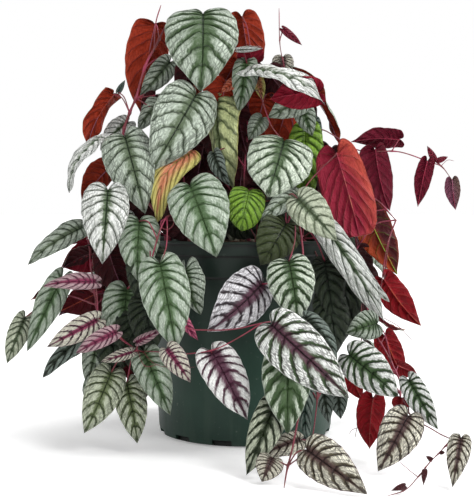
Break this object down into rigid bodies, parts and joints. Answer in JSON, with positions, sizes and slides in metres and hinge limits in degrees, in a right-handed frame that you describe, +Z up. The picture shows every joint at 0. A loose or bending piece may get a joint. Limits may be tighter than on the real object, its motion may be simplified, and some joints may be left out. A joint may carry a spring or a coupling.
{
  "type": "potted rex begonia vine",
  "caption": "Potted foliage vine: silver and green patterned heart-shaped leaves with maroon undersides on climbing and trailing stems, in a round dark green nursery pot of potting mix",
  "frame": {"origin": "centre of the pot's flat underside, where it rests on the surface", "axes": "Z up along the pot's axis, Y away from the viewer of the picture, X to the viewer's right"},
  "size_m": [0.4785, 0.4752, 0.4693],
  "materials": {
    "pot": "matte",
    "potting_mix": "rough",
    "leaf": "satin",
    "red_leaf": "satin"
  },
  "bodies": {
    "root": {"pot": "pot", "potting_mix": "potting_mix", "vine_crown_left": "leaf", "vine_top": "leaf", "vine_arch_right": "leaf", "vine_right_middle": "leaf", "vine_inner": "leaf", "vine_front_right": "leaf", "vine_right_trail": "leaf", "vine_front_left": "leaf", "vine_left_trail": "leaf", "vine_side_left": "leaf", "vine_side_right": "leaf", "vine_back_left": "leaf", "vine_back": "leaf", "vine_back_right": "leaf", "vine_crown_back": "leaf", "vine_right_branch": "red_leaf", "vine_crown_inside_left": "red_leaf", "vine_crown_inside_right": "red_leaf"}
  },
  "joints": []
}
